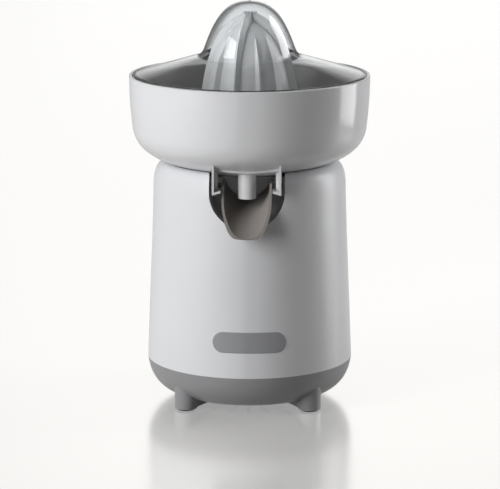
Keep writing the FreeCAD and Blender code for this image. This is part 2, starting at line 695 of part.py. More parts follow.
def juice_bowl():
    """Deep bowl with a central column over the tower and a seat ring."""
    column = turned((0, BOWL_BOTTOM_Z), (COLUMN_R + 2, BOWL_BOTTOM_Z), (COLUMN_R + 2, BOWL_BOTTOM_Z + 3),
                    (COLUMN_R, BOWL_BOTTOM_Z + 6), (COLUMN_R - 0.6, COLUMN_TOP_Z - 0.6),
                    (COLUMN_R - 1.2, COLUMN_TOP_Z), (0, COLUMN_TOP_Z))
    seat = ring(*SEAT_R, (SEAT_Z, BOWL_BOTTOM_Z + 1.5)).cut(block((-26, 26), (-RIM_R, -30), (SEAT_Z - 1, RIM_Z)))
    bowl = fused([bowl_outside().cut(bowl_cavity()), column, seat])
    bowl = bowl.cut(rod(COLUMN_R - COLUMN_WALL - 0.6, (BOWL_BOTTOM_Z - NUDGE, COLUMN_TOP_Z + NUDGE)))
    return bowl.cut(outlet_bore())


def ear():
    """Right-hand ear: a thin plate, a recessed web and a foot that slopes up towards the spout."""
    top = RIM_Z - 40.0
    plate = block(EAR_X, EAR_Y, (EAR_Z, top))
    web = block((EAR_WEB_X, EAR_X[0] + 0.2), EAR_WEB_Y, (EAR_Z + EAR_FOOT_T, top))
    inner_z = EAR_Z + EAR_FOOT_RISE
    foot_outline = [(EAR_X[1], EAR_Z), (EAR_X[1], EAR_Z + EAR_FOOT_T), (EAR_FOOT_X, inner_z + EAR_FOOT_T),
                    (EAR_FOOT_X, inner_z), (EAR_X[1], EAR_Z)]
    foot_face = Part.Face(Part.makePolygon([Vector(x, EAR_Y[0], z) for x, z in foot_outline]))
    foot = foot_face.extrude(Vector(0, EAR_FOOT_BACK_Y - EAR_Y[0], 0))
    hole = Part.makeCylinder(PIVOT_R + RUNNING_GAP, 10, Vector(EAR_X[0] - 4, PIVOT_Y, PIVOT_Z), Vector(1, 0, 0))
    return fused([plate, web, foot]).cut(hole)


def spout_bracket():
    """Thin saddle that fits the underside of the bowl, with the outlet tube and two ears."""
    outside = bowl_outside()
    lowered = outside.copy()
    lowered.translate(Vector(0, 0, -SADDLE_T))
    saddle = lowered.common(block((-EAR_X[1], EAR_X[1]), SADDLE_Y, (OUTLET_Z, RIM_Z - 40)))
    tube = rod(OUTLET_R, (OUTLET_Z, RIM_Z - 50), 0, OUTLET_Y)
    right = ear()
    return fused([saddle, tube, right, mirrored(right)]).cut(outside).cut(outlet_bore())


def pressed_strainer():
    """Whole pressed steel basket that lines the bowl, with a rolled rim, a collar and rings of slots."""
    floor = STRAINER_FLOOR_Z
    t = STRAINER_T
    heel_r, heel_z = STRAINER_HEEL_R, STRAINER_HEEL_Z
    shell = turned((STRAINER_HOLE_R, floor), (heel_r, floor),
                   [(73.6, floor), (75.0, floor + 1), (75.2, heel_z)],
                   [(75.6, RIM_Z - 18), (76.5, RIM_Z - 9), (76.6, STRAINER_RIM_Z)],
                   (76.6 - t, STRAINER_RIM_Z),
                   [(76.5 - t, RIM_Z - 9), (75.6 - t, RIM_Z - 18), (75.2 - t, heel_z)],
                   [(75.0 - t, floor + 1 + t), (73.6 - t, floor + t), (heel_r, floor + t)],
                   (STRAINER_HOLE_R + t, floor + t), (STRAINER_HOLE_R + t, floor + 4), (STRAINER_HOLE_R, floor + 4))
    rim = Part.makeTorus(76.3, 0.9, Vector(0, 0, STRAINER_RIM_Z), UP)
    slots = []
    for count, inner_r, outer_r in SLOT_RINGS:
        slot = block((inner_r, outer_r), (-SLOT_WIDTH / 2, SLOT_WIDTH / 2), (floor - 1, floor + t + 1))
        slots += around(slot, [360 / count * k for k in range(count)])
    return shell.fuse(rim).cut(Part.makeCompound(slots))


def strainer_wall_zone():
    """Ring-shaped space that holds the strainer's wall, from its heel up."""
    return ring(STRAINER_SEAM_R, RIM_R, (STRAINER_SEAM_Z, RIM_Z))


def strainer_basket():
    """Upright wall of the strainer with its rolled rim."""
    return pressed_strainer().common(strainer_wall_zone())


def strainer_floor():
    """Slotted floor of the strainer, with its collar and turned-up heel."""
    return pressed_strainer().cut(strainer_wall_zone())


def trough(half, belly, drop, back_y, front_y):
    """Sloping channel with upright sides over a half-ellipse, drop above the lip line."""
    lip_y, lip_z = SPOUT_LIP
    run = front_y - back_y
    fall = run * math.tan(SPOUT_SLOPE)
    low = lip_z + drop + (back_y - lip_y) * math.tan(SPOUT_SLOPE)
    high = SPOUT_TOP_Z + 60
    side = low + belly
    bottom = Part.Arc(Part.Ellipse(Vector(0, back_y, side), half, belly), math.pi, 2 * math.pi).toShape()
    bottom.rotate(Vector(0, back_y, side), Vector(1, 0, 0), 90)
    left, right = Vector(-half, back_y, side), Vector(half, back_y, side)
    left_top, right_top = Vector(-half, back_y, high), Vector(half, back_y, high)
    sides = [Part.makeLine(right, right_top), Part.makeLine(right_top, left_top), Part.makeLine(left_top, left)]
    face = Part.Face(Part.Wire(Part.__sortEdges__([bottom] + sides)))
    return face.extrude(Vector(0, run, fall))


def pour_spout():
    """Tilting spout: a sloping trough with a curved front edge, a low back wall and two pivot stubs."""
    lip_y, lip_z = SPOUT_LIP
    inside_drop = SPOUT_WALL / math.cos(SPOUT_SLOPE)
    outside = trough(SPOUT_HALF, SPOUT_BELLY, 0.0, SPOUT_BACK_Y, lip_y)
    inside = trough(SPOUT_HALF - SPOUT_WALL, SPOUT_BELLY - SPOUT_WALL / 2, inside_drop,
                    SPOUT_BACK_Y + NUDGE, lip_y - 6)
    back = outside.common(block((-RIM_R, RIM_R), (SPOUT_BACK_Y - SPOUT_WALL, SPOUT_BACK_Y), (0, SPOUT_BACK_TOP_Z)))
    body = outside.cut(inside).fuse(back)
    far = 30.0
    edge_z = lip_z + inside_drop
    front = Part.BezierCurve()
    front.setPoles([Vector(-far, lip_y, edge_z), Vector(-far, lip_y, lip_z + 5.5), Vector(-far, -68.0, lip_z + 12),
                    Vector(-far, -62.0, lip_z + 20), Vector(-far, -60.5, SPOUT_TOP_Z - 1.5)])
    corners = [Vector(-far, -60.5, SPOUT_TOP_Z - 1.5), Vector(-far, -58.5, SPOUT_TOP_Z),
               Vector(-far, SPOUT_BACK_Y + 1, SPOUT_TOP_Z), Vector(-far, SPOUT_BACK_Y + 1, lip_z - 1),
               Vector(-far, lip_y + SPOUT_UNDERCUT, lip_z - 1), Vector(-far, lip_y, edge_z)]
    outline = Part.Wire([front.toShape()] + Part.makePolygon(corners).Edges)
    body = body.common(Part.Face(outline).extrude(Vector(2 * far, 0, 0)))
    reach = PIVOT_REACH - SPOUT_HALF + SPOUT_WALL
    pin = Part.makeCylinder(PIVOT_R, reach, Vector(SPOUT_HALF - SPOUT_WALL, PIVOT_Y, PIVOT_Z), Vector(1, 0, 0))
    return fused([body, pin, mirrored(pin)])


# Reamer and cover

RIDGE = [(0, REAMER_TIP_Z),
         [(13.2, RIM_Z + 41.0), (24.4, RIM_Z + 26.5), (28.6, RIM_Z + 11)],
         [(31.2, RIM_Z + 2), (33.2, RIM_Z - 8), (34.8, REAMER_FOOT_Z)]]
RIB = [(14.0, RIM_Z + 28.0),
       [(21.0, RIM_Z + 23.5), (26.6, RIM_Z + 14), (29.4, RIM_Z + 3)],
       [(31.6, RIM_Z - 5), (33.2, RIM_Z - 12), (34.4, REAMER_FOOT_Z)]]
PETAL = [(0, RIM_Z + 36.5),
         [(11.5, RIM_Z + 35.5), (20.8, RIM_Z + 22), (25.2, RIM_Z + 6)],
         [(27.4, RIM_Z - 2), (28.8, RIM_Z - 10), (30.0, REAMER_FOOT_Z)]]


def fin(crest, inner):
    """Sharp fin: the area between its crest and a line inside the cone, swept to both sides at an angle."""
    area = half_section(*crest, *inner)
    back = FIN_DEPTH * math.cos(FIN_HALF_ANGLE)
    side = FIN_DEPTH * math.sin(FIN_HALF_ANGLE)
    return area.extrude(Vector(-back, side, 0)).fuse(area.extrude(Vector(-back, -side, 0)))


def reamer_cone():
    """Ribbed cone with a hollow underside and a socket for the spindle's hexagon."""
    petals = turned(*PETAL, (0, REAMER_FOOT_Z))
    tall = fin(RIDGE, [(27.0, REAMER_FOOT_Z), (22.0, RIM_Z + 6), (10.0, RIM_Z + 26), (2.0, RIM_Z + 36)])
    short = fin(RIB, [(27.0, REAMER_FOOT_Z), (22.0, RIM_Z + 6), (12.0, RIM_Z + 24)])
    fins = []
    for quarter in range(4):
        angle = FIN_START_ANGLE + 90 * quarter
        fins.append(spun(tall, angle))
        fins += around(short, [angle + offset for offset in RIB_OFFSETS])
    cone = fused([petals] + fins)
    w = REAMER_WALL
    hollow = turned((0, RIM_Z + 36.5 - w - 2),
                    [(10.5, RIM_Z + 35.0 - w - 2), (20.8 - w, RIM_Z + 21), (25.2 - w, RIM_Z + 6)],
                    [(27.4 - w, RIM_Z - 2), (28.8 - w, RIM_Z - 10), (30.0 - w, REAMER_FOOT_Z)],
                    (30.0 - w, REAMER_FOOT_Z - NUDGE), (0, REAMER_FOOT_Z - NUDGE))
    hub = rod(REAMER_HUB_R, (REAMER_FOOT_Z, RIM_Z + 31))
    socket = hexagon(SPINDLE_HEX + 2 * SLIDING_GAP, (REAMER_FOOT_Z - NUDGE, REAMER_SOCKET_TOP_Z))
    return cone.cut(hollow).fuse(hub).cut(socket)


def clear_lid():
    """Whole clear lid: a shallow cone inside the bowl's rim and a tall dome over the reamer."""
    t = COVER_T
    crown_z = RIM_Z + DOME_TOP - t - 0.4
    return turned((COVER_EDGE_R - t, COVER_EDGE_Z), (COVER_EDGE_R, COVER_EDGE_Z), (COVER_EDGE_R, RIM_Z - 0.2),
                  (36.0, RIM_Z + 12), [(33.0, RIM_Z + 12.8), (31.6, RIM_Z + 14.2), (30.7, RIM_Z + 16.5)],
                  [(25.6, RIM_Z + 30), (19.0, RIM_Z + DOME_TOP), (0, RIM_Z + DOME_TOP)],
                  (0, crown_z),
                  [(18.0, crown_z), (24.7, RIM_Z + 29.5), (29.6, RIM_Z + 15.9)],
                  [(30.3, RIM_Z + 13.4), (32.0, RIM_Z + 11.2), (35.4, RIM_Z + 10.4)],
                  (COVER_EDGE_R - t, RIM_Z - 1.4))


def cover_dome():
    """Dome of the lid, up to the foot where it runs out into the cone."""
    return clear_lid().common(rod(DOME_FOOT_R, (RIM_Z, RIM_Z + DOME_TOP + NUDGE)))


def dust_cover():
    """Cone of the lid, which drops into the bowl's rim and carries the dome."""
    return clear_lid().cut(rod(DOME_FOOT_R, (RIM_Z, RIM_Z + DOME_TOP + NUDGE)))


def main():
    os.makedirs("parts", exist_ok=True)
    save("motor_housing", motor_housing())
    save("base_tray", base_tray())
    save("rubber_feet", rubber_feet())
    save("base_screws", base_screws())
    save("cord_gland", cord_gland())
    save("lower_gear_plate", gear_plate(LOWER_PLATE_Z, HUB_LOW_R + 3.0, False, 6.0))
    save("upper_gear_plate", gear_plate(UPPER_PLATE_Z, HUB_HIGH_R + 3.0, True, 0.0))
    save("lower_hub_bush", hub_bush(HUB_LOW_R, (96.5, 101.0), LOWER_PLATE_Z))
    save("upper_hub_bush", hub_bush(HUB_HIGH_R, (123.0, 127.5), UPPER_PLATE_Z))
    save("plate_pillars", plate_pillars())
    save("plate_screws", plate_screws())
    save("idler_pin", idler_pin())
    save("output_gear", output_gear())
    save("idler_gear", idler_gear())
    save("motor_pinion", motor_pinion())
    save("motor_stator", motor_stator())
    save("motor_coil", motor_coil())
    save("upper_motor_bracket", motor_bracket(STATOR_Z[1], 1))
    save("lower_motor_bracket", motor_bracket(STATOR_Z[0], -1))
    save("motor_bushes", motor_bushes())
    save("motor_spacers", motor_spacers())
    save("motor_bolts", motor_bolts())
    save("motor_rotor", motor_rotor())
    save("motor_shaft", rod(SHAFT_R, SHAFT_Z, 0, MOTOR_Y))
    save("cooling_fan", cooling_fan())
    save("drive_spindle", drive_spindle())
    save("spindle_collar", spindle_collar())
    save("return_spring", return_spring())
    save("spindle_bush", spindle_bush())
    save("spindle_seal", spindle_seal())
    save("switch_body", switch_body())
    save("switch_bracket", switch_bracket())
    save("switch_plunger", switch_plunger())
    save("juice_bowl", juice_bowl())
    save("spout_bracket", spout_bracket())
    save("strainer_basket", strainer_basket())
    save("strainer_floor", strainer_floor())
    save("pour_spout", pour_spout())
    save("reamer_cone", reamer_cone())
    save("cover_dome", cover_dome())
    save("dust_cover", dust_cover())


main()
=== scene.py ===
"""Looks of the electric citrus juicer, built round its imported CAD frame. Metres, Z up, front at -Y."""

import math

import bpy
import numpy as np
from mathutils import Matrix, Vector


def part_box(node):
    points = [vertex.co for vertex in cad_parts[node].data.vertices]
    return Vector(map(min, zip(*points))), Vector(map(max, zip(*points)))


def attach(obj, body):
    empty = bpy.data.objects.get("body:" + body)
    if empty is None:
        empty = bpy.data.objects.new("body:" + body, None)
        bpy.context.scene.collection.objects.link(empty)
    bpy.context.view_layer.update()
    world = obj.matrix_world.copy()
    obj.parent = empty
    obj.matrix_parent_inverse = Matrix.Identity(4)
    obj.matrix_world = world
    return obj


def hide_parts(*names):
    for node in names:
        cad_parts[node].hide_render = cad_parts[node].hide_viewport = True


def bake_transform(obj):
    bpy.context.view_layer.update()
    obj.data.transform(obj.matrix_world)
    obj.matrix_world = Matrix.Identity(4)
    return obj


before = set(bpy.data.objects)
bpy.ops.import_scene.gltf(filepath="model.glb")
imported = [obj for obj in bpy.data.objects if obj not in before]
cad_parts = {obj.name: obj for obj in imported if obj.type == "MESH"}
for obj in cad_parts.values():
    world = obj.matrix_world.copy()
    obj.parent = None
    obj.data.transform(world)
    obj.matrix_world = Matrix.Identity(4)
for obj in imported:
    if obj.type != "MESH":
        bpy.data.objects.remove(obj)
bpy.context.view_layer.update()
MM = 0.001


# Colour and node helpers

def linear(hex_colour):
    """sRGB hex to linear RGBA: each channel is raised by the sRGB curve."""
    srgb = np.array([int(hex_colour[k:k + 2], 16) for k in (1, 3, 5)]) / 255
    rgb = np.where(srgb <= 0.04045, srgb / 12.92, ((srgb + 0.055) / 1.055) ** 2.4)
    return (*rgb, 1.0)


def add(owner, kind, links=(), **settings):
    """Adds a node to a material or a world. Settings are node properties, or socket values with an underscore
    for each space in the name. Links are (socket, source, output)."""
    node = owner.node_tree.nodes.new(kind)
    for name, value in settings.items():
        if hasattr(node, name):
            setattr(node, name, value)
        else:
            node.inputs[name.replace("_", " ")].default_value = value
    for socket, source, output in links:
        owner.node_tree.links.new(source.outputs[output], node.inputs[socket])
    return node


def finish_with(name, **settings):
    """New node material with one Principled shader; returns the material and the shader."""
    material = bpy.data.materials.new(name)
    material.use_nodes = True
    shader = material.node_tree.nodes["Principled BSDF"]
    for socket, value in settings.items():
        shader.inputs[socket.replace("_", " ")].default_value = value
    return material, shader


def join(owner, source, output, shader, socket):
    """Links a node's output to a socket of the shader that was there from the start."""
    owner.node_tree.links.new(source.outputs[output], shader.inputs[socket])


def per_mm(size_mm):
    """Texture scale, in features per metre, for a feature of a real size in millimetres."""
    return 1000.0 / size_mm


DRIFT_MM = 45
WIPE_MM = 9
GLOSS_SPREAD = 0.2


def moulded(name, colour, shade, roughness, rough_swing, grain_mm, grain_depth_mm):
    """Injection-moulded plastic: an even body colour with a faint cloudy drift from the melt's flow,
    a gloss that varies a little, and the fine grain or orange peel that the mould leaves."""
    material, shader = finish_with(name)
    place = add(material, "ShaderNodeTexCoord")
    drift = add(material, "ShaderNodeTexNoise", [("Vector", place, "Object")],
                Scale=per_mm(DRIFT_MM), Detail=2.0)
    tint = add(material, "ShaderNodeMix", [("Factor", drift, "Fac")], data_type="RGBA")
    tint.inputs[6].default_value = linear(colour)
    tint.inputs[7].default_value = linear(shade)
    join(material, tint, 2, shader, "Base Color")
    wipe = add(material, "ShaderNodeTexNoise", [("Vector", place, "Object")],
               Scale=per_mm(WIPE_MM), Detail=3.0)
    gloss = add(material, "ShaderNodeMapRange", [("Value", wipe, "Fac")],
                To_Min=roughness - rough_swing, To_Max=roughness + rough_swing)
    join(material, gloss, "Result", shader, "Roughness")
    grain = add(material, "ShaderNodeTexNoise", [("Vector", place, "Object")],
                Scale=per_mm(grain_mm), Detail=1.0)
    bump = add(material, "ShaderNodeBump", [("Height", grain, "Fac")], Distance=grain_depth_mm * MM)
    join(material, bump, "Normal", shader, "Normal")
    return material


def metal(name, colour, shade, roughness, grain_mm, stretch, depth_mm):
    """Bare or plated metal: a fine grain sets tint, gloss and relief, and is drawn out along each axis whose
    stretch is under 1."""
    material, shader = finish_with(name, Metallic=1.0)
    place = add(material, "ShaderNodeTexCoord")
    drawn = add(material, "ShaderNodeMapping", [("Vector", place, "Object")], Scale=stretch)
    grain = add(material, "ShaderNodeTexNoise", [("Vector", drawn, "Vector")],
                Scale=per_mm(grain_mm), Detail=3.0)
    tint = add(material, "ShaderNodeMix", [("Factor", grain, "Fac")], data_type="RGBA")
    tint.inputs[6].default_value = linear(colour)
    tint.inputs[7].default_value = linear(shade)
    join(material, tint, 2, shader, "Base Color")
    gloss = add(material, "ShaderNodeMapRange", [("Value", grain, "Fac")],
                To_Min=roughness * (1 - GLOSS_SPREAD), To_Max=roughness * (1 + GLOSS_SPREAD))
    join(material, gloss, "Result", shader, "Roughness")
    bump = add(material, "ShaderNodeBump", [("Height", grain, "Fac")], Distance=depth_mm * MM)
    join(material, bump, "Normal", shader, "Normal")
    return material


# Materials

# White ABS of the housing, moulded in a polished tool: soft, wide highlights.
HOUSING_WHITE = moulded("white_abs", "#DCDDDF", "#D6D7DA", 0.30, 0.03, 1.4, 0.004)
# White glossy plastic of the bowl: crisp reflections with a slight ripple.
BOWL_WHITE = moulded("white_gloss_plastic", "#DCDDDF", "#D7D8DA", 0.14, 0.02, 6.0, 0.006)
# The reamer's white, its gloss a little duller from use; its colour is darker than the other whites, as
# painted shade for the reamer under the cover.
REAMER_SHADED_WHITE = moulded("reamer_white_painted_shade", "#C8C9CA", "#C2C3C4", 0.20, 0.03, 5.0, 0.006)
# Warm grey plastic of the spout, satin from its tool.
SPOUT_GREY = moulded("warm_grey_satin_plastic", "#8C8783", "#86817D", 0.32, 0.04, 1.6, 0.006)
# Grey ABS of the tray, from a spark-eroded tool: satin with a fine grain.
TRAY_GREY = moulded("grey_abs", "#909092", "#8A8A8C", 0.38, 0.04, 0.7, 0.02)
# Soft black rubber of the pads: matt, slightly dusty.
PAD_RUBBER = moulded("black_rubber", "#161616", "#1E1E1D", 0.75, 0.08, 0.5, 0.04)
# Soft black plastic of the cord inlet.
GLAND_BLACK = moulded("black_soft_plastic", "#1A1A1B", "#202021", 0.55, 0.05, 0.6, 0.02)
# Grey silicone cap on the tower.
SEAL_GREY = moulded("grey_silicone", "#8A8A8A", "#828282", 0.55, 0.05, 0.8, 0.01)
# Natural nylon of the gears: creamy, waxy.
GEAR_NYLON = moulded("natural_nylon", "#E6E3D6", "#DDD9CA", 0.42, 0.04, 1.0, 0.01)
# Black glass-filled plastic of the fan and the switch: a fine, matt grain.
FAN_BLACK = moulded("black_glass_filled_plastic", "#202022", "#28282A", 0.50, 0.05, 0.6, 0.02)
# Red acetal of the switch plunger: slick.
PLUNGER_RED = moulded("red_acetal", "#A8231C", "#981E18", 0.35, 0.04, 1.0, 0.005)
# Enamelled copper of the motor's coil, with its fine turns as a grain drawn out two ways.
COIL_COPPER = metal("enamelled_copper", "#B4572A", "#8E3F1C", 0.35, 0.5, (0.1, 1.0, 0.1), 0.05)
# Pressed stainless steel of the strainer: dull, with no clear direction. Its colour is far darker than bare
# steel, as painted shade inside the bowl.
STRAINER_SHADED_STEEL = metal("strainer_steel_painted_shade", "#7C7B79", "#747371", 0.32, 1.2, (1.0, 1.0, 1.0), 0.001)
# Zinc plating of plates, straps and screws.
PLATE_STEEL = metal("zinc_plated_steel", "#A9ABAE", "#95979B", 0.35, 1.5, (0.2, 1.0, 1.0), 0.005)
# Turned and drawn steel of the spindle, pins, pillars and spring.
ROD_STEEL = metal("turned_steel", "#B4B6B9", "#A2A4A8", 0.25, 0.6, (0.05, 0.05, 1.0), 0.004)
# Stacked sheets of the motor's core, as fine layers along the axis.
CORE_STEEL = metal("laminated_steel", "#5A5B5E", "#3E3F42", 0.50, 0.5, (0.02, 0.02, 1.0), 0.03)
# Sintered bronze of the bushes: porous and dull.
BUSH_BRONZE = metal("sintered_bronze", "#A5834E", "#8C6C3C", 0.50, 0.4, (1.0, 1.0, 1.0), 0.01)
# Machined brass of the pinion.
PINION_BRASS = metal("machined_brass", "#C8A85A", "#B89648", 0.28, 0.5, (1.0, 1.0, 0.1), 0.004)
# Satin grey lacquer on the badge plate.
BADGE_GREY = moulded("badge_lacquer", "#97989B", "#909194", 0.34, 0.03, 0.4, 0.006)


FLOW_MM = 30
FLOW_DEPTH_MM = 0.02
CLEAR_SHADOW = 0.2


def clear_plastic():
    """Clear SAN of the cover: bright, with a faint cool tint and the softest flow marks. Its shadow is faint,
    because light goes through it."""
    material, shader = finish_with("clear_san", IOR=1.56, Transmission_Weight=1.0, Roughness=0.015)
    shader.inputs["Base Color"].default_value = linear("#F6F8F9")
    place = add(material, "ShaderNodeTexCoord")
    flow = add(material, "ShaderNodeTexNoise", [("Vector", place, "Object")],
               Scale=per_mm(FLOW_MM), Detail=1.0)
    bump = add(material, "ShaderNodeBump", [("Height", flow, "Fac")], Distance=FLOW_DEPTH_MM * MM)
    join(material, bump, "Normal", shader, "Normal")
    path = add(material, "ShaderNodeLightPath")
    cast = add(material, "ShaderNodeMapRange", [("Value", path, "Is Shadow Ray")],
               To_Min=1.0, To_Max=CLEAR_SHADOW)
    join(material, cast, "Result", shader, "Alpha")
    return material


COVER_CLEAR = clear_plastic()

NODE_FINISH = {
    HOUSING_WHITE: ["motor_housing"],
    BOWL_WHITE: ["juice_bowl", "spout_bracket"],
    REAMER_SHADED_WHITE: ["reamer_cone"],
    SPOUT_GREY: ["pour_spout"],
    TRAY_GREY: ["base_tray"],
    PAD_RUBBER: ["rubber_feet"],
    GLAND_BLACK: ["cord_gland"],
    SEAL_GREY: ["spindle_seal"],
    GEAR_NYLON: ["output_gear", "idler_gear"],
    FAN_BLACK: ["cooling_fan", "switch_body"],
    PLUNGER_RED: ["switch_plunger"],
    COIL_COPPER: ["motor_coil"],
    STRAINER_SHADED_STEEL: ["strainer_basket", "strainer_floor"],
    PLATE_STEEL: ["lower_gear_plate", "upper_gear_plate", "switch_bracket", "upper_motor_bracket",
                  "lower_motor_bracket", "base_screws", "plate_screws", "motor_bolts"],
    ROD_STEEL: ["plate_pillars", "idler_pin", "motor_spacers", "motor_shaft", "spindle_collar",
                "drive_spindle", "return_spring"],
    CORE_STEEL: ["motor_stator", "motor_rotor"],
    BUSH_BRONZE: ["lower_hub_bush", "upper_hub_bush", "motor_bushes", "spindle_bush"],
    PINION_BRASS: ["motor_pinion"],
    COVER_CLEAR: ["dust_cover", "cover_dome"],
}
for finish, names in NODE_FINISH.items():
    for node_name in names:
        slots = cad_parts[node_name].data.materials
        slots.clear()
        slots.append(finish)


# Pieces

def surface(name, points, finish, body=None):
    """Mesh from a grid of points, smooth shaded, whose last column joins the first. It rides on a body if
    one is named."""
    rows, columns = points.shape[:2]
    index = np.arange(rows * columns).reshape(rows, columns)
    index = np.column_stack([index, index[:, 0]])
    quads = np.stack([index[:-1, :-1], index[:-1, 1:], index[1:, 1:], index[1:, :-1]], axis=-1)
    mesh = bpy.data.meshes.new(name)
    mesh.from_pydata(points.reshape(-1, 3).tolist(), [], quads.reshape(-1, 4).tolist())
    mesh.shade_smooth()
    mesh.materials.append(finish)
    piece = bpy.data.objects.new(name, mesh)
    bpy.context.scene.collection.objects.link(piece)
    if body:
        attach(piece, body)
    return piece


WALL_LOW_Z = 34 * MM
WALL_HIGH_Z = 110 * MM
WALL_LEAST_R = 60 * MM


def housing_radius(z):
    """Outside radius of the housing at a height. A straight line between its two walls parts the outer points
    of the solid from the inner ones, and a parabola is fitted to the outer ones."""
    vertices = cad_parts["motor_housing"].data.vertices
    corners = np.empty(len(vertices) * 3)
    vertices.foreach_get("co", corners)
    x, y, height = corners.reshape(-1, 3).T
    radius = np.hypot(x, y)
    wall = (height > WALL_LOW_Z) & (height < WALL_HIGH_Z) & (radius > WALL_LEAST_R)
    between = np.polyfit(height[wall], radius[wall], 1)
    outer = wall & (radius > np.polyval(between, height))
    return np.polyval(np.polyfit(height[outer], radius[outer], 2), z)


def arc(*poles, steps):
    """Points of a cubic Bezier curve with four poles, without its first point."""
    t = np.linspace(0, 1, steps + 1)[1:, None]
    a, b, c, d = [np.array(pole, float) for pole in poles]
    return a * (1 - t) ** 3 + 3 * b * t * (1 - t) ** 2 + 3 * c * t ** 2 * (1 - t) + d * t ** 3


# The cover, in millimetres. The bore of its lip is LID_BORE_R, and POLE_R keeps its crown just off the axis.
RIM_Z = 219.0
LID_T = 1.6
LID_R = 77.3
LID_BORE_R = LID_R - LID_T
LID_FOOT_Z = 217.0
LID_EDGE = 0.4
DOME_TOP_Z = RIM_Z + 49.4
CROWN_Z = DOME_TOP_Z - LID_T - 0.4
POLE_R = 0.02
CONE_STEPS = 20
BEND_STEPS = 16
DOME_STEPS = 64
LID_TURNS = 256


def clear_lid():
    """Cover as one unbroken sheet. Its closed profile, radius by height, goes up the lip, along the cone,
    over the dome and back inside; each point is turned round the axis."""
    cone_end = (36.0, RIM_Z + 12.0)
    dome_foot = (30.7, RIM_Z + 16.5)
    inner_foot = (29.6, RIM_Z + 15.9)
    lip = np.array([(LID_BORE_R, LID_FOOT_Z + LID_EDGE), (LID_BORE_R + LID_EDGE, LID_FOOT_Z),
                    (LID_R - LID_EDGE, LID_FOOT_Z), (LID_R, LID_FOOT_Z + LID_EDGE), (LID_R, RIM_Z - 0.8),
                    (LID_R - 0.15, RIM_Z - 0.45), (LID_R - 0.6, RIM_Z - 0.05)])
    cone = np.linspace((LID_R - 3, RIM_Z + 0.6), cone_end, CONE_STEPS)
    bend = arc(cone_end, (33.0, RIM_Z + 12.8), (31.6, RIM_Z + 14.2), dome_foot, steps=BEND_STEPS)
    dome = arc(dome_foot, (25.6, RIM_Z + 30), (19.0, DOME_TOP_Z), (POLE_R, DOME_TOP_Z), steps=DOME_STEPS)
    inside = arc((POLE_R, CROWN_Z), (18.0, CROWN_Z), (24.7, RIM_Z + 29.5), inner_foot, steps=DOME_STEPS)
    hollow = arc(inner_foot, (30.3, RIM_Z + 13.4), (32.0, RIM_Z + 11.2), (35.4, RIM_Z + 10.4),
                 steps=BEND_STEPS)
    under = np.linspace((37.0, RIM_Z + 9.94), (LID_BORE_R - 1.0, RIM_Z - 1.1), CONE_STEPS)
    corner = [(LID_BORE_R - 0.1, RIM_Z - 1.3), (LID_BORE_R, RIM_Z - 1.5)]
    crown = [(POLE_R, CROWN_Z)]
    profile = np.vstack([lip, cone, bend, dome, crown, inside, hollow, under, corner, lip[:1]]) * MM
    turn = np.linspace(0, 2 * np.pi, LID_TURNS, endpoint=False)
    radius, height = profile[:, :1], profile[:, 1:]
    points = np.stack([radius * np.cos(turn), radius * np.sin(turn), height + 0 * turn], axis=-1)
    lid = surface("clear_lid", points, COVER_CLEAR, "cover")
    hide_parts("dust_cover", "cover_dome")


clear_lid()

BADGE_TURN = math.radians(1.5)
BADGE_LENGTH = 48.9 * MM
BADGE_HEIGHT = 13.9 * MM
BADGE_MIDDLE_Z = 52.1 * MM
BADGE_PROUD = 0.45 * MM
BADGE_EDGE = 0.8 * MM
BADGE_SUNK = 0.05 * MM
BADGE_CAP_STEPS = 48
BADGE_LINE_STEPS = 40
BADGE_FACE_STEPS = 14
BADGE_EDGE_STEPS = 10


def badge_plate():
    """Bare pill-shaped plate on the front of the housing. Its outline keeps a constant distance from a
    straight spine; a point goes from the spine (s = 0) to the outline (s = 1). The face stands proud by a
    constant height, and falls in a rounded step over the last BADGE_EDGE; then the sheet is wrapped round
    the wall."""
    half = BADGE_HEIGHT / 2
    spine = BADGE_LENGTH / 2 - half
    cap = np.linspace(np.pi / 2, -np.pi / 2, BADGE_CAP_STEPS)
    line = np.linspace(1, -1, BADGE_LINE_STEPS)[1:-1]
    lean = np.concatenate([cap, np.full(line.size, -np.pi / 2), cap - np.pi, np.full(line.size, np.pi / 2)])
    spine_x = np.concatenate([np.ones(cap.size), line, -np.ones(cap.size), -line]) * spine
    edge = BADGE_EDGE / half
    face = np.linspace(0, 1 - edge, BADGE_FACE_STEPS, endpoint=False)
    fall = 1 - edge * (1 - np.sin(np.linspace(0, np.pi / 2, BADGE_EDGE_STEPS)))
    s = np.concatenate([face, fall])[:, None]
    along = spine_x + s * half * np.cos(lean)
    up = s * half * np.sin(lean)
    depth = np.clip((1 - s) * half / BADGE_EDGE, 0, 1)
    proud = BADGE_PROUD * np.sqrt(1 - (1 - depth) ** 2) + 0 * along
    z = BADGE_MIDDLE_Z + up
    radius = housing_radius(z) + proud - BADGE_SUNK
    turn = BADGE_TURN + along / housing_radius(BADGE_MIDDLE_Z)
    points = np.stack([radius * np.sin(turn), -radius * np.cos(turn), z], axis=-1)
    surface("badge_plate", points, BADGE_GREY, "housing")


badge_plate()

COIL_R = 7.2 * MM
COIL_WIRE_R = 0.7 * MM
COIL_TURNS = 4
COIL_STEPS = 48
WIRE_STEPS = 16
TIP_STEPS = 8


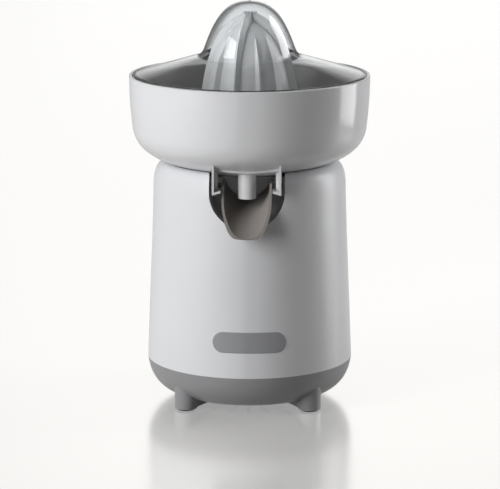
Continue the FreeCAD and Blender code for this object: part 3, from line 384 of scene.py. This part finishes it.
def return_coil():
    """Return spring that closes up when the spindle is pressed. A circle of the wire's radius is swept along
    a helix, by turn and by the angle round the wire; at each end the wire is rounded off as a half sphere."""
    low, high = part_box("return_spring")
    cap = COIL_WIRE_R / COIL_R
    whole = 2 * np.pi * COIL_TURNS
    tip = cap * (1 - np.cos(np.linspace(0, np.pi / 2, TIP_STEPS)))
    length = np.linspace(cap, whole - cap, COIL_TURNS * COIL_STEPS)[1:-1]
    turn = np.concatenate([tip, length, whole - tip[::-1]])[:, None]
    wire = np.linspace(0, 2 * np.pi, WIRE_STEPS, endpoint=False)
    inset = np.clip(np.minimum(turn, whole - turn) / cap, 0, 1)
    thick = COIL_WIRE_R * np.sqrt(1 - (1 - inset) ** 2)
    radius = COIL_R + thick * np.cos(wire)
    climb = low[2] + COIL_WIRE_R + (high[2] - low[2] - 2 * COIL_WIRE_R) * turn / whole
    points = np.stack([radius * np.cos(turn), radius * np.sin(turn), climb + thick * np.sin(wire)], axis=-1)
    coil = surface("return_coil", points, ROD_STEEL)
    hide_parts("return_spring")
    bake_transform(coil)


return_coil()


# Stage

# The camera that was fitted to the photo: metres and radians, with its focal length in pixels.
CAMERA_RANGE = 1.750
CAMERA_HEIGHT = 0.4798
CAMERA_SIDE = 0.00023
CAMERA_PITCH = 0.2119
CAMERA_TURN = math.radians(1.8)
FOCAL_PX = 2663.7
FRAME_WIDTH_PX = 500
SENSOR_WIDTH_MM = 36.0


def photo_camera():
    """Long-lens camera a little to the right of the spout, looking down at the bowl."""
    data = bpy.data.cameras.new("photo_camera")
    data.sensor_width = SENSOR_WIDTH_MM
    data.lens = FOCAL_PX * data.sensor_width / FRAME_WIDTH_PX
    data.clip_end = 20.0
    camera = bpy.data.objects.new("photo_camera", data)
    camera.location = (CAMERA_RANGE * math.sin(CAMERA_TURN) + CAMERA_SIDE,
                       -CAMERA_RANGE * math.cos(CAMERA_TURN), CAMERA_HEIGHT)
    camera.rotation_euler = (math.pi / 2 - CAMERA_PITCH, 0.0, CAMERA_TURN)
    bpy.context.scene.collection.objects.link(camera)
    bpy.context.scene.camera = camera


def softbox(name, bearing, rise, distance, aim_z, width, height, watts, mirrored=True):
    """Rectangular lamp at a bearing from the front and a rise above level, both in degrees. It faces a point
    on the axis at aim_z, stays out of the camera's own view, and shows in reflections if mirrored is set."""
    data = bpy.data.lights.new(name, "AREA")
    data.shape = "RECTANGLE"
    data.size = width
    data.size_y = height
    data.energy = watts
    lamp = bpy.data.objects.new(name, data)
    turn, lift = math.radians(bearing), math.radians(rise)
    away = Vector((math.sin(turn) * math.cos(lift), -math.cos(turn) * math.cos(lift), math.sin(lift)))
    lamp.location = Vector((0, 0, aim_z)) + distance * away
    lamp.rotation_mode = "QUATERNION"
    lamp.rotation_quaternion = away.to_track_quat("Z", "Y")
    lamp.visible_camera = False
    lamp.visible_glossy = mirrored
    bpy.context.scene.collection.objects.link(lamp)


# The room's level on matt surfaces, and away from its white parts in mirror images and through the cover.
ROOM_DIFFUSE = 0.045
PANEL_DIM = 0.24
PATCH_DIM = 0.15


def white_spot(world, place, squeeze, shift, inner, outer, dim):
    """Level of the room by direction. It is white where squeeze times the direction plus shift is shorter
    than inner, and dim where that is longer than outer."""
    lean = add(world, "ShaderNodeMapping", [("Vector", place, "Generated")], Scale=squeeze, Location=shift)
    away = add(world, "ShaderNodeVectorMath", [(0, lean, "Vector")], operation="LENGTH")
    return add(world, "ShaderNodeMapRange", [("Value", away, "Value")],
               From_Min=inner, From_Max=outer, To_Min=1.0, To_Max=dim)


def studio():
    """Large low key at the front left, in two lamps so that its mirror image is weaker than its light; a tall
    box at the right, a little behind; and a small fill low on the right. The room is white behind the juicer
    and dim to the sides, so that clear plastic and steel keep their dark edges."""
    softbox("key_left", -54, 14, 1.25, 0.16, 0.60, 1.10, 14.6, mirrored=False)
    softbox("key_sheen", -54, 14, 1.25, 0.16, 0.60, 1.10, 5.4)
    softbox("box_right", 106, 12, 0.60, 0.245, 0.28, 0.72, 2.6)
    softbox("fill_right", 95, 5, 0.70, 0.09, 0.30, 0.30, 0.45, mirrored=False)
    world = bpy.data.worlds.new("studio")
    world.use_nodes = True
    bpy.context.scene.world = world
    sky = world.node_tree.nodes["Background"]
    sky.inputs["Color"].default_value = linear("#FFFFFF")
    path = add(world, "ShaderNodeLightPath")
    place = add(world, "ShaderNodeTexCoord")
    panel = white_spot(world, place, (1.0, 0.5, 1.0), (0.0, -0.5, -0.22), 0.16, 0.25, PANEL_DIM)
    patch = white_spot(world, place, (1.0, 0.5, 0.5), (0.0, -0.5, 0.0), 0.10, 0.20, PATCH_DIM)
    mirrored = add(world, "ShaderNodeMix", [("Factor", path, "Is Glossy Ray"), (3, panel, "Result")],
                   data_type="FLOAT")
    mirrored.inputs[2].default_value = ROOM_DIFFUSE
    bent = add(world, "ShaderNodeMix",
               [("Factor", path, "Is Transmission Ray"), (2, mirrored, 0), (3, patch, "Result")],
               data_type="FLOAT")
    level = add(world, "ShaderNodeMix", [("Factor", path, "Is Camera Ray"), (2, bent, 0)], data_type="FLOAT")
    level.inputs[3].default_value = 1.0
    join(world, level, 0, sky, "Strength")


# The table's half width in metres, the light added where it is seen, and its share of mirror.
TABLE_HALF = 4.0
TABLE_LIFT = 0.29
TABLE_POLISH = 0.78


def floor():
    """Pale polished table, large enough to fill the view. It keeps the shadow and a soft mirror image. Seen
    straight, in reflections or through the cover, it is lifted to white; through the cover it is lighter
    near the axis than to the sides. It throws less light back on the juicer than its colour would."""
    mesh = bpy.data.meshes.new("table")
    corners = [(-TABLE_HALF, -TABLE_HALF, 0), (TABLE_HALF, -TABLE_HALF, 0),
               (TABLE_HALF, TABLE_HALF, 0), (-TABLE_HALF, TABLE_HALF, 0)]
    mesh.from_pydata(corners, [], [(0, 1, 2, 3)])
    table = bpy.data.objects.new("table", mesh)
    bpy.context.scene.collection.objects.link(table)
    material, shader = finish_with("white_polished_table", Roughness=0.19, IOR=1.5)
    path = add(material, "ShaderNodeLightPath")
    tone = add(material, "ShaderNodeMix", [("Factor", path, "Is Diffuse Ray")], data_type="RGBA")
    tone.inputs[6].default_value = linear("#DAD8D4")
    tone.inputs[7].default_value = linear("#8F8D8A")
    join(material, tone, 2, shader, "Base Color")
    through = add(material, "ShaderNodeMath", [(0, path, "Is Camera Ray"), (1, path, "Is Transmission Ray")],
                  operation="MAXIMUM")
    seen = add(material, "ShaderNodeMath", [(0, through, 0), (1, path, "Is Glossy Ray")], operation="MAXIMUM")
    lift = add(material, "ShaderNodeMath", [(0, seen, 0)], operation="MULTIPLY")
    lift.inputs[1].default_value = TABLE_LIFT
    place = add(material, "ShaderNodeTexCoord")
    axes = add(material, "ShaderNodeSeparateXYZ", [("Vector", place, "Object")])
    aside = add(material, "ShaderNodeMath", [(0, axes, "X")], operation="ABSOLUTE")
    strip = add(material, "ShaderNodeMapRange", [("Value", aside, 0)],
                From_Min=0.10, From_Max=0.30, To_Min=0.35, To_Max=-0.20)
    behind = add(material, "ShaderNodeMath",
                 [(0, path, "Is Transmission Ray"), (1, strip, "Result"), (2, lift, 0)],
                 operation="MULTIPLY_ADD")
    polish = add(material, "ShaderNodeMath", [(0, through, 0)], operation="MULTIPLY")
    polish.inputs[1].default_value = TABLE_POLISH
    join(material, polish, 0, shader, "Metallic")
    shader.inputs["Emission Color"].default_value = linear("#FFFFFF")
    join(material, behind, 0, shader, "Emission Strength")
    mesh.materials.append(material)


photo_camera()
studio()
floor()
bpy.context.scene.view_settings.view_transform = "Standard"
